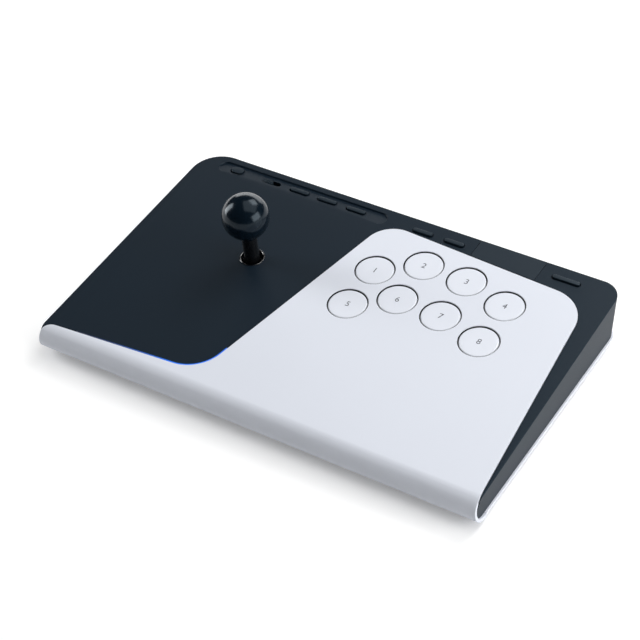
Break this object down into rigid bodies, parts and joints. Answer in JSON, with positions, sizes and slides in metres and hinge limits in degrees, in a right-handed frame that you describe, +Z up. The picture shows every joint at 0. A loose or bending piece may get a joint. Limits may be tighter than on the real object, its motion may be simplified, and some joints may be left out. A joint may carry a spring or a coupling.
{
  "type": "arcade fight stick",
  "caption": "Low wedge-shaped arcade controller with a ball-top lever, round push buttons on a wrap-round plate and a rear strip of small controls.",
  "frame": {"origin": "on the table, under the middle of the case's width and depth", "axes": "+X to the player's right along the case, +Y to the rear, +Z up"},
  "size_m": [0.3562, 0.221, 0.0917],
  "materials": {
    "dark_case": "fine matt texture",
    "white_plate": "smooth satin",
    "base": "satin",
    "light_guide": "translucent, lit blue from inside",
    "cap": "milky translucent, satin",
    "housing": "gloss black",
    "switch": "moulded",
    "board": "solder mask",
    "ball": "high gloss",
    "cover": "gloss",
    "steel": "turned",
    "casting": "die cast",
    "dark_nylon": "moulded",
    "pale_nylon": "moulded",
    "rubber": "matt",
    "small_button": "satin",
    "touch": "smooth satin",
    "cell": "film wrap"
  },
  "bodies": {
    "case": {"upper_shell": "dark_case", "faceplate": "white_plate", "base_plate": "base", "light_bar": "light_guide", "light_board": "board", "rubber_feet": "rubber", "case_screws": "steel", "button_housing_1": "housing", "button_housing_2": "housing", "button_housing_3": "housing", "button_housing_4": "housing", "button_housing_5": "housing", "button_housing_6": "housing", "button_housing_7": "housing", "button_housing_8": "housing", "key_switches": "switch", "button_board": "board", "lever_housing": "dark_nylon", "collar_ring": "housing", "restrictor_gate": "dark_nylon", "lever_board": "board", "lever_screws": "steel", "strip_board": "board", "strip_switches": "switch", "main_board": "board", "battery": "cell", "usb_socket": "steel", "board_screws": "steel"},
    "gimbal": {"gimbal_ring": "casting"},
    "lever": {"ball_top": "ball", "shaft_cover": "cover", "lever_shaft": "steel", "pivot_hub": "casting", "actuator": "pale_nylon", "centring_spring": "steel"},
    "button_cap_1": {"button_cap_1": "cap"},
    "button_cap_2": {"button_cap_2": "cap"},
    "button_cap_3": {"button_cap_3": "cap"},
    "button_cap_4": {"button_cap_4": "cap"},
    "button_cap_5": {"button_cap_5": "cap"},
    "button_cap_6": {"button_cap_6": "cap"},
    "button_cap_7": {"button_cap_7": "cap"},
    "button_cap_8": {"button_cap_8": "cap"},
    "pill_button_1": {"pill_button_1": "small_button"},
    "pill_button_2": {"pill_button_2": "small_button"},
    "pill_button_3": {"pill_button_3": "small_button"},
    "pill_button_4": {"pill_button_4": "small_button"},
    "pill_button_5": {"pill_button_5": "small_button"},
    "pill_button_6": {"pill_button_6": "small_button"},
    "home_button": {"home_button": "small_button"},
    "touch_panel": {"touch_panel": "touch"},
    "lock_slider": {"lock_slider": "small_button"}
  },
  "joints": [
    {"name": "lever_fore_aft", "type": "hinge", "parent": "case", "child": "gimbal", "pos_m": [-0.0785, 0.02225, 0.02342], "axis": [1, 0, 0], "range_deg": [-8, 8], "stiffness_Nm_per_rad": 0.55, "deforming": ["centring_spring"]},
    {"name": "lever_left_right", "type": "hinge", "parent": "gimbal", "child": "lever", "pos_m": [-0.0785, 0.02225, 0.02342], "axis": [0, 0.9969, 0.079], "range_deg": [-8, 8], "stiffness_Nm_per_rad": 0.55, "deforming": ["centring_spring"]},
    {"name": "button_cap_1_press", "type": "slide", "parent": "case", "child": "button_cap_1", "axis": [0, 0.079, -0.9969], "range_m": [0, 0.002], "stiffness_N_per_m": 250, "springref_m": -0.0012},
    {"name": "button_cap_2_press", "type": "slide", "parent": "case", "child": "button_cap_2", "axis": [0, 0.079, -0.9969], "range_m": [0, 0.002], "stiffness_N_per_m": 250, "springref_m": -0.0012},
    {"name": "button_cap_3_press", "type": "slide", "parent": "case", "child": "button_cap_3", "axis": [0, 0.079, -0.9969], "range_m": [0, 0.002], "stiffness_N_per_m": 250, "springref_m": -0.0012},
    {"name": "button_cap_4_press", "type": "slide", "parent": "case", "child": "button_cap_4", "axis": [0, 0.079, -0.9969], "range_m": [0, 0.002], "stiffness_N_per_m": 250, "springref_m": -0.0012},
    {"name": "button_cap_5_press", "type": "slide", "parent": "case", "child": "button_cap_5", "axis": [0, 0.079, -0.9969], "range_m": [0, 0.002], "stiffness_N_per_m": 250, "springref_m": -0.0012},
    {"name": "button_cap_6_press", "type": "slide", "parent": "case", "child": "button_cap_6", "axis": [0, 0.079, -0.9969], "range_m": [0, 0.002], "stiffness_N_per_m": 250, "springref_m": -0.0012},
    {"name": "button_cap_7_press", "type": "slide", "parent": "case", "child": "button_cap_7", "axis": [0, 0.079, -0.9969], "range_m": [0, 0.002], "stiffness_N_per_m": 250, "springref_m": -0.0012},
    {"name": "button_cap_8_press", "type": "slide", "parent": "case", "child": "button_cap_8", "axis": [0, 0.079, -0.9969], "range_m": [0, 0.002], "stiffness_N_per_m": 250, "springref_m": -0.0012},
    {"name": "pill_button_1_press", "type": "slide", "parent": "case", "child": "pill_button_1", "axis": [0, 0.079, -0.9969], "range_m": [0, 0.0006], "stiffness_N_per_m": 500, "springref_m": -0.0006},
    {"name": "pill_button_2_press", "type": "slide", "parent": "case", "child": "pill_button_2", "axis": [0, 0.079, -0.9969], "range_m": [0, 0.0006], "stiffness_N_per_m": 500, "springref_m": -0.0006},
    {"name": "pill_button_3_press", "type": "slide", "parent": "case", "child": "pill_button_3", "axis": [0, 0.079, -0.9969], "range_m": [0, 0.0006], "stiffness_N_per_m": 500, "springref_m": -0.0006},
    {"name": "pill_button_4_press", "type": "slide", "parent": "case", "child": "pill_button_4", "axis": [0, 0.079, -0.9969], "range_m": [0, 0.0006], "stiffness_N_per_m": 500, "springref_m": -0.0006},
    {"name": "pill_button_5_press", "type": "slide", "parent": "case", "child": "pill_button_5", "axis": [0, 0.079, -0.9969], "range_m": [0, 0.0006], "stiffness_N_per_m": 500, "springref_m": -0.0006},
    {"name": "pill_button_6_press", "type": "slide", "parent": "case", "child": "pill_button_6", "axis": [0, 0.079, -0.9969], "range_m": [0, 0.0006], "stiffness_N_per_m": 500, "springref_m": -0.0006},
    {"name": "home_button_press", "type": "slide", "parent": "case", "child": "home_button", "axis": [0, 0.079, -0.9969], "range_m": [0, 0.0006], "stiffness_N_per_m": 500, "springref_m": -0.0006},
    {"name": "touch_panel_press", "type": "slide", "parent": "case", "child": "touch_panel", "axis": [0, 0.079, -0.9969], "range_m": [0, 0.0004], "stiffness_N_per_m": 700, "springref_m": -0.0006},
    {"name": "lock_slider_slide", "type": "slide", "parent": "case", "child": "lock_slider", "axis": [1, 0, 0], "range_m": [0, 0.0065]}
  ]
}
